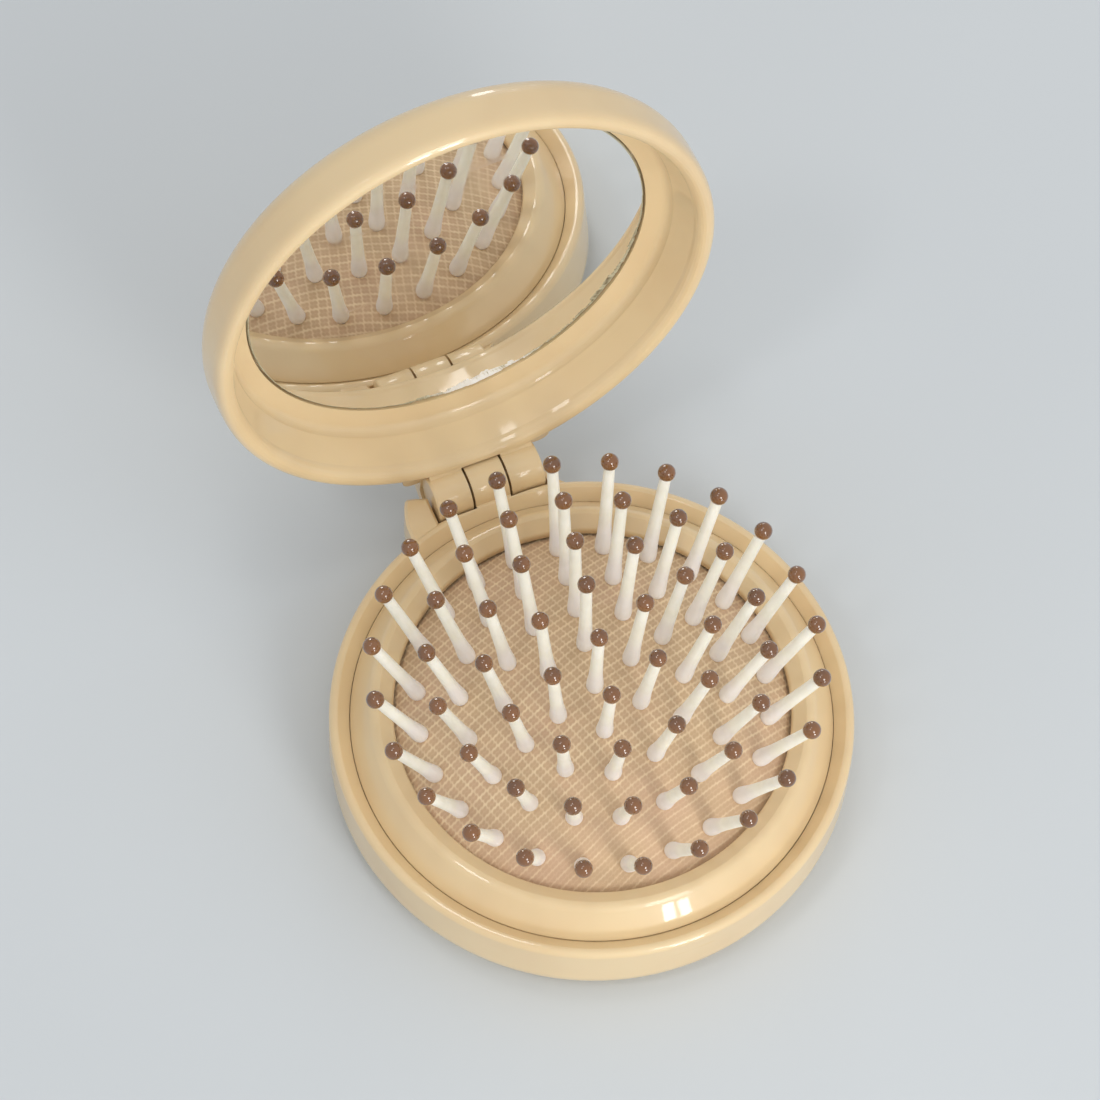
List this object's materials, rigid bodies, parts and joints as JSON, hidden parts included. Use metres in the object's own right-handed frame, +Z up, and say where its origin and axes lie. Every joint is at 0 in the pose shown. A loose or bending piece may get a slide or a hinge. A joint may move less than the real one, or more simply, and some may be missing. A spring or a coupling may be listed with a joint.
{
  "type": "folding hairbrush",
  "caption": "Round folding compact hairbrush: pop-up domed rubber cushion with ball-tipped nylon pins in a base cup, and a hinged lid with a round mirror.",
  "frame": {"origin": "centre of the base's underside, on the axis of the round base", "axes": "+Z up out of the cushion, +Y towards the hinge, +X along the hinge's axis; the front of the brush is at -Y"},
  "size_m": [0.0726, 0.0963, 0.0849],
  "materials": {
    "case_plastic": "glossy moulded beige plastic",
    "cushion_rubber": "matt tan rubber with a fine embossed net",
    "pin_nylon": "satin white nylon",
    "ball_tip": "glossy brown",
    "mirror_glass": "silvered, chipped at its edge",
    "film": "white double-sided film",
    "hinge_steel": "drawn steel wire"
  },
  "bodies": {
    "base": {"base_shell": "case_plastic", "cushion_ring": "case_plastic", "cushion": "cushion_rubber", "hinge_pin": "hinge_steel"},
    "lid": {"lid_shell": "case_plastic", "mirror": "mirror_glass", "mirror_adhesive": "film"},
    "pad": {"push_button": "case_plastic", "pins_centre": "pin_nylon", "tips_centre": "ball_tip"},
    "inner_1": {"pins_inner_1": "pin_nylon", "tips_inner_1": "ball_tip"},
    "inner_2": {"pins_inner_2": "pin_nylon", "tips_inner_2": "ball_tip"},
    "inner_3": {"pins_inner_3": "pin_nylon", "tips_inner_3": "ball_tip"},
    "inner_4": {"pins_inner_4": "pin_nylon", "tips_inner_4": "ball_tip"},
    "middle_1": {"pins_middle_1": "pin_nylon", "tips_middle_1": "ball_tip"},
    "middle_2": {"pins_middle_2": "pin_nylon", "tips_middle_2": "ball_tip"},
    "middle_3": {"pins_middle_3": "pin_nylon", "tips_middle_3": "ball_tip"},
    "middle_4": {"pins_middle_4": "pin_nylon", "tips_middle_4": "ball_tip"},
    "middle_5": {"pins_middle_5": "pin_nylon", "tips_middle_5": "ball_tip"},
    "middle_6": {"pins_middle_6": "pin_nylon", "tips_middle_6": "ball_tip"},
    "outer_1": {"pins_outer_1": "pin_nylon", "tips_outer_1": "ball_tip"},
    "outer_2": {"pins_outer_2": "pin_nylon", "tips_outer_2": "ball_tip"},
    "outer_3": {"pins_outer_3": "pin_nylon", "tips_outer_3": "ball_tip"},
    "outer_4": {"pins_outer_4": "pin_nylon", "tips_outer_4": "ball_tip"},
    "outer_5": {"pins_outer_5": "pin_nylon", "tips_outer_5": "ball_tip"},
    "outer_6": {"pins_outer_6": "pin_nylon", "tips_outer_6": "ball_tip"},
    "outer_7": {"pins_outer_7": "pin_nylon", "tips_outer_7": "ball_tip"},
    "outer_8": {"pins_outer_8": "pin_nylon", "tips_outer_8": "ball_tip"},
    "outer_9": {"pins_outer_9": "pin_nylon", "tips_outer_9": "ball_tip"},
    "outer_10": {"pins_outer_10": "pin_nylon", "tips_outer_10": "ball_tip"},
    "outer_11": {"pins_outer_11": "pin_nylon", "tips_outer_11": "ball_tip"},
    "outer_12": {"pins_outer_12": "pin_nylon", "tips_outer_12": "ball_tip"}
  },
  "joints": [
    {"name": "lid_hinge", "type": "hinge", "parent": "base", "child": "lid", "pos_m": [0, 0.0387, 0.0113], "axis": [1, 0, 0], "range_deg": [0, 99.2]},
    {"name": "pad_slide", "type": "slide", "parent": "base", "child": "pad", "axis": [0, 0, -1], "range_m": [0, 0.01686], "deforming": ["cushion"]},
    {"name": "inner_lean_1", "type": "hinge", "parent": "base", "child": "inner_1", "pos_m": [-0.02641, 0.07802, 0.0109], "axis": [0.9472, 0.3206, 0], "range_deg": [0, 12.46]},
    {"name": "inner_lean_2", "type": "hinge", "parent": "base", "child": "inner_2", "pos_m": [-0.07802, -0.02641, 0.0109], "axis": [-0.3206, 0.9472, 0], "range_deg": [0, 12.46]},
    {"name": "inner_lean_3", "type": "hinge", "parent": "base", "child": "inner_3", "pos_m": [0.02641, -0.07802, 0.0109], "axis": [-0.9472, -0.3206, 0], "range_deg": [0, 12.46]},
    {"name": "inner_lean_4", "type": "hinge", "parent": "base", "child": "inner_4", "pos_m": [0.07802, 0.02641, 0.0109], "axis": [0.3206, -0.9472, 0], "range_deg": [0, 12.46]},
    {"name": "middle_lean_1", "type": "hinge", "parent": "base", "child": "middle_1", "pos_m": [-0.00895, 0.05846, 0.00996], "axis": [0.9885, 0.1513, 0], "range_deg": [0, 18.55]},
    {"name": "middle_lean_2", "type": "hinge", "parent": "base", "child": "middle_2", "pos_m": [-0.0551, 0.02148, 0.00996], "axis": [0.3633, 0.9317, 0], "range_deg": [0, 18.55]},
    {"name": "middle_lean_3", "type": "hinge", "parent": "base", "child": "middle_3", "pos_m": [-0.04616, -0.03698, 0.00996], "axis": [-0.6252, 0.7804, 0], "range_deg": [0, 18.55]},
    {"name": "middle_lean_4", "type": "hinge", "parent": "base", "child": "middle_4", "pos_m": [0.00895, -0.05846, 0.00996], "axis": [-0.9885, -0.1513, 0], "range_deg": [0, 18.55]},
    {"name": "middle_lean_5", "type": "hinge", "parent": "base", "child": "middle_5", "pos_m": [0.0551, -0.02148, 0.00996], "axis": [-0.3633, -0.9317, 0], "range_deg": [0, 18.55]},
    {"name": "middle_lean_6", "type": "hinge", "parent": "base", "child": "middle_6", "pos_m": [0.04616, 0.03698, 0.00996], "axis": [0.6252, -0.7804, 0], "range_deg": [0, 18.55]},
    {"name": "outer_lean_1", "type": "hinge", "parent": "base", "child": "outer_1", "pos_m": [0.00317, 0.04767, 0.00861], "axis": [0.9978, -0.0663, 0], "range_deg": [0, 24.94]},
    {"name": "outer_lean_2", "type": "hinge", "parent": "base", "child": "outer_2", "pos_m": [-0.02109, 0.04286, 0.00861], "axis": [0.8973, 0.4415, 0], "range_deg": [0, 24.94]},
    {"name": "outer_lean_3", "type": "hinge", "parent": "base", "child": "outer_3", "pos_m": [-0.0397, 0.02658, 0.00861], "axis": [0.5563, 0.831, 0], "range_deg": [0, 24.94]},
    {"name": "outer_lean_4", "type": "hinge", "parent": "base", "child": "outer_4", "pos_m": [-0.04767, 0.00317, 0.00861], "axis": [0.0663, 0.9978, 0], "range_deg": [0, 24.94]},
    {"name": "outer_lean_5", "type": "hinge", "parent": "base", "child": "outer_5", "pos_m": [-0.04286, -0.02109, 0.00861], "axis": [-0.4415, 0.8973, 0], "range_deg": [0, 24.94]},
    {"name": "outer_lean_6", "type": "hinge", "parent": "base", "child": "outer_6", "pos_m": [-0.02658, -0.0397, 0.00861], "axis": [-0.831, 0.5563, 0], "range_deg": [0, 24.94]},
    {"name": "outer_lean_7", "type": "hinge", "parent": "base", "child": "outer_7", "pos_m": [-0.00317, -0.04767, 0.00861], "axis": [-0.9978, 0.0663, 0], "range_deg": [0, 24.94]},
    {"name": "outer_lean_8", "type": "hinge", "parent": "base", "child": "outer_8", "pos_m": [0.02109, -0.04286, 0.00861], "axis": [-0.8973, -0.4415, 0], "range_deg": [0, 24.94]},
    {"name": "outer_lean_9", "type": "hinge", "parent": "base", "child": "outer_9", "pos_m": [0.0397, -0.02658, 0.00861], "axis": [-0.5563, -0.831, 0], "range_deg": [0, 24.94]},
    {"name": "outer_lean_10", "type": "hinge", "parent": "base", "child": "outer_10", "pos_m": [0.04767, -0.00317, 0.00861], "axis": [-0.0663, -0.9978, 0], "range_deg": [0, 24.94]},
    {"name": "outer_lean_11", "type": "hinge", "parent": "base", "child": "outer_11", "pos_m": [0.04286, 0.02109, 0.00861], "axis": [0.4415, -0.8973, 0], "range_deg": [0, 24.94]},
    {"name": "outer_lean_12", "type": "hinge", "parent": "base", "child": "outer_12", "pos_m": [0.02658, 0.0397, 0.00861], "axis": [0.831, -0.5563, 0], "range_deg": [0, 24.94]}
  ],
  "couplings": [
    {"joint": "pad_slide", "follows": "lid_hinge", "m_per_rad": 0.0097337},
    {"joint": "inner_lean_1", "follows": "lid_hinge", "ratio": 0.12551},
    {"joint": "inner_lean_2", "follows": "lid_hinge", "ratio": 0.12551},
    {"joint": "inner_lean_3", "follows": "lid_hinge", "ratio": 0.12551},
    {"joint": "inner_lean_4", "follows": "lid_hinge", "ratio": 0.12551},
    {"joint": "middle_lean_1", "follows": "lid_hinge", "ratio": 0.18684},
    {"joint": "middle_lean_2", "follows": "lid_hinge", "ratio": 0.18684},
    {"joint": "middle_lean_3", "follows": "lid_hinge", "ratio": 0.18684},
    {"joint": "middle_lean_4", "follows": "lid_hinge", "ratio": 0.18684},
    {"joint": "middle_lean_5", "follows": "lid_hinge", "ratio": 0.18684},
    {"joint": "middle_lean_6", "follows": "lid_hinge", "ratio": 0.18684},
    {"joint": "outer_lean_1", "follows": "lid_hinge", "ratio": 0.25135},
    {"joint": "outer_lean_2", "follows": "lid_hinge", "ratio": 0.25135},
    {"joint": "outer_lean_3", "follows": "lid_hinge", "ratio": 0.25135},
    {"joint": "outer_lean_4", "follows": "lid_hinge", "ratio": 0.25135},
    {"joint": "outer_lean_5", "follows": "lid_hinge", "ratio": 0.25135},
    {"joint": "outer_lean_6", "follows": "lid_hinge", "ratio": 0.25135},
    {"joint": "outer_lean_7", "follows": "lid_hinge", "ratio": 0.25135},
    {"joint": "outer_lean_8", "follows": "lid_hinge", "ratio": 0.25135},
    {"joint": "outer_lean_9", "follows": "lid_hinge", "ratio": 0.25135},
    {"joint": "outer_lean_10", "follows": "lid_hinge", "ratio": 0.25135},
    {"joint": "outer_lean_11", "follows": "lid_hinge", "ratio": 0.25135},
    {"joint": "outer_lean_12", "follows": "lid_hinge", "ratio": 0.25135}
  ]
}
